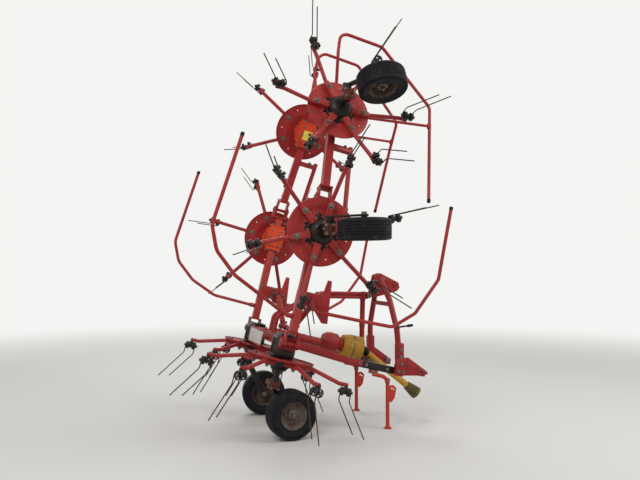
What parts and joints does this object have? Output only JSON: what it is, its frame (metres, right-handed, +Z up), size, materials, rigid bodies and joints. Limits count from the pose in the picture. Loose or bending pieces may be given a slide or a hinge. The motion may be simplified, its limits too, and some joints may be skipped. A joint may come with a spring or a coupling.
{
  "type": "hay tedder",
  "caption": "Hay tedder on a three-point hitch, parked on its wheels and stand legs with both wings folded up over the centre frame.",
  "frame": {"origin": "on the ground, below the middle of the parked machine's length and on its centre line", "axes": "+X is the direction of travel, towards the tractor; +Y is the machine's left; +Z is up"},
  "size_m": [2.3987, 2.9858, 3.6988],
  "materials": {
    "paint_red": "faded red paint, chalky, with worn edges",
    "paint_orange": "orange-red paint, satin",
    "grease_black": "black iron with dry grease and dust",
    "steel_dark": "dark spring steel, rust-stained",
    "tyre_black": "worn ribbed rubber, dusty",
    "rim_grey": "grey paint, rusty and dusty",
    "guard_ochre": "faded yellow plastic",
    "board_pale": "pale board, weathered",
    "chrome": "bright piston rod"
  },
  "bodies": {
    "frame": {"cross_beam": "paint_red", "side_rails": "paint_red", "tower": "paint_red", "headstock": "paint_red", "headstock_leg_right": "paint_red", "headstock_leg_left": "paint_red", "lower_hitch": "paint_red", "stand_legs": "paint_orange", "input_gearbox": "paint_red", "pto_guard": "guard_ochre", "pto_shaft": "guard_ochre", "pto_yoke": "guard_ochre", "centre_gearboxes": "grease_black", "centre_stems": "grease_black", "rear_board": "board_pale", "control_lever": "grease_black"},
    "wing_inner_right": {"inner_beam_right": "paint_red", "inner_gearbox_right": "paint_orange", "inner_guards_right": "paint_red", "inner_stem_right": "grease_black"},
    "wing_outer_right": {"outer_beam_right": "paint_red", "outer_gearbox_right": "paint_orange", "outer_guard_right": "paint_red", "outer_stem_right": "grease_black"},
    "wing_inner_left": {"inner_beam_left": "paint_red", "inner_gearbox_left": "paint_orange", "inner_guards_left": "paint_red", "inner_stem_left": "grease_black"},
    "wing_outer_left": {"outer_beam_left": "paint_red", "outer_gearbox_left": "paint_orange", "outer_guard_left": "paint_red", "outer_stem_left": "grease_black"},
    "rotor_unit_1": {"rotor_1": "paint_red", "tines_1": "steel_dark"},
    "wheel_1": {"tyre_1": "tyre_black", "rim_1": "rim_grey"},
    "rotor_unit_2": {"rotor_2": "paint_red", "tines_2": "steel_dark"},
    "wheel_2": {"tyre_2": "tyre_black", "rim_2": "rim_grey"},
    "rotor_unit_3": {"rotor_3": "paint_red", "tines_3": "steel_dark"},
    "wheel_3": {"tyre_3": "tyre_black", "rim_3": "rim_grey"},
    "rotor_unit_4": {"rotor_4": "paint_red", "tines_4": "steel_dark"},
    "wheel_4": {"tyre_4": "tyre_black", "rim_4": "rim_grey"},
    "rotor_unit_5": {"rotor_5": "paint_red", "tines_5": "steel_dark"},
    "wheel_5": {"tyre_5": "tyre_black", "rim_5": "rim_grey"},
    "rotor_unit_6": {"rotor_6": "paint_red", "tines_6": "steel_dark"},
    "wheel_6": {"tyre_6": "tyre_black", "rim_6": "rim_grey"},
    "cylinder_barrel_right": {"fold_barrel_right": "paint_red"},
    "cylinder_rod_right": {"fold_rod_right": "chrome"},
    "cylinder_barrel_left": {"fold_barrel_left": "paint_red"},
    "cylinder_rod_left": {"fold_rod_left": "chrome"}
  },
  "joints": [
    {"name": "wing_fold_right", "type": "hinge", "parent": "frame", "child": "wing_inner_right", "pos_m": [-0.27252, -0.72, 0.80696], "axis": [0.972, 0, -0.2351], "range_deg": [0, 90]},
    {"name": "wing_tip_right", "type": "hinge", "parent": "wing_inner_right", "child": "wing_outer_right", "pos_m": [0.01295, -0.72, 1.98692], "axis": [0.972, 0, -0.2351], "range_deg": [0, 22]},
    {"name": "wing_fold_left", "type": "hinge", "parent": "frame", "child": "wing_inner_left", "pos_m": [-0.27252, 0.72, 0.80696], "axis": [-0.972, 0, 0.2351], "range_deg": [0, 90]},
    {"name": "wing_tip_left", "type": "hinge", "parent": "wing_inner_left", "child": "wing_outer_left", "pos_m": [0.01295, 0.72, 1.98692], "axis": [-0.972, 0, 0.2351], "range_deg": [0, 22]},
    {"name": "rotor_spin_1", "type": "hinge", "parent": "wing_outer_right", "child": "rotor_unit_1", "pos_m": [0.18976, -0.41619, 2.71779], "axis": [-0.0881, 0.9272, -0.3641], "continuous": true},
    {"name": "wheel_spin_1", "type": "hinge", "parent": "wing_outer_right", "child": "wheel_1", "pos_m": [0.44491, -0.92377, 2.92351], "axis": [-0.0288, 0.363, 0.9313], "continuous": true},
    {"name": "rotor_spin_2", "type": "hinge", "parent": "wing_inner_right", "child": "rotor_unit_2", "pos_m": [-0.05454, -0.72, 1.70797], "axis": [0, 1, 0], "continuous": true},
    {"name": "wheel_spin_2", "type": "hinge", "parent": "wing_inner_right", "child": "wheel_2", "pos_m": [0.15145, -1.288, 1.71049], "axis": [-0.0122, 0, 0.9999], "continuous": true},
    {"name": "rotor_spin_3", "type": "hinge", "parent": "frame", "child": "rotor_unit_3", "pos_m": [-0.27252, -0.549, 0.80696], "axis": [0.2351, 0, 0.972], "continuous": true},
    {"name": "wheel_spin_3", "type": "hinge", "parent": "frame", "child": "wheel_3", "pos_m": [-0.208, -0.51891, 0.20697], "axis": [0.142, -0.9893, -0.0344], "continuous": true},
    {"name": "rotor_spin_4", "type": "hinge", "parent": "frame", "child": "rotor_unit_4", "pos_m": [-0.27252, 0.549, 0.80696], "axis": [0.2351, 0, 0.972], "continuous": true},
    {"name": "wheel_spin_4", "type": "hinge", "parent": "frame", "child": "wheel_4", "pos_m": [-0.208, 0.51891, 0.20697], "axis": [0.142, 0.9893, -0.0344], "continuous": true},
    {"name": "rotor_spin_5", "type": "hinge", "parent": "wing_inner_left", "child": "rotor_unit_5", "pos_m": [-0.05454, 0.72, 1.70797], "axis": [0, -1, 0], "continuous": true},
    {"name": "wheel_spin_5", "type": "hinge", "parent": "wing_inner_left", "child": "wheel_5", "pos_m": [0.15145, 1.288, 1.71049], "axis": [-0.0122, 0, 0.9999], "continuous": true},
    {"name": "rotor_spin_6", "type": "hinge", "parent": "wing_outer_left", "child": "rotor_unit_6", "pos_m": [0.18976, 0.41619, 2.71779], "axis": [-0.0881, -0.9272, -0.3641], "continuous": true},
    {"name": "wheel_spin_6", "type": "hinge", "parent": "wing_outer_left", "child": "wheel_6", "pos_m": [0.44491, 0.92377, 2.92351], "axis": [-0.0288, -0.363, 0.9313], "continuous": true},
    {"name": "barrel_swing_right", "type": "hinge", "parent": "frame", "child": "cylinder_barrel_right", "pos_m": [-0.1025, -0.15, 0.8718], "axis": [0.972, 0, -0.2351], "range_deg": [0, 32]},
    {"name": "rod_slide_right", "type": "slide", "parent": "cylinder_barrel_right", "child": "cylinder_rod_right", "axis": [0.1185, -0.8638, 0.4897], "range_m": [0, 0.402]},
    {"name": "barrel_swing_left", "type": "hinge", "parent": "frame", "child": "cylinder_barrel_left", "pos_m": [-0.1025, 0.15, 0.8718], "axis": [-0.972, 0, 0.2351], "range_deg": [0, 32]},
    {"name": "rod_slide_left", "type": "slide", "parent": "cylinder_barrel_left", "child": "cylinder_rod_left", "axis": [0.1185, 0.8638, 0.4897], "range_m": [0, 0.402]}
  ],
  "couplings": [
    {"joint": "rotor_spin_1", "follows": "rotor_spin_3", "ratio": 1},
    {"joint": "rotor_spin_2", "follows": "rotor_spin_3", "ratio": -1},
    {"joint": "rotor_spin_4", "follows": "rotor_spin_3", "ratio": -1},
    {"joint": "rotor_spin_5", "follows": "rotor_spin_3", "ratio": 1},
    {"joint": "rotor_spin_6", "follows": "rotor_spin_3", "ratio": -1},
    {"joint": "barrel_swing_right", "follows": "wing_fold_right", "ratio": 0.34487},
    {"joint": "rod_slide_right", "follows": "wing_fold_right", "m_per_rad": 0.25274},
    {"joint": "barrel_swing_left", "follows": "wing_fold_left", "ratio": 0.34487},
    {"joint": "rod_slide_left", "follows": "wing_fold_left", "m_per_rad": 0.25274}
  ]
}
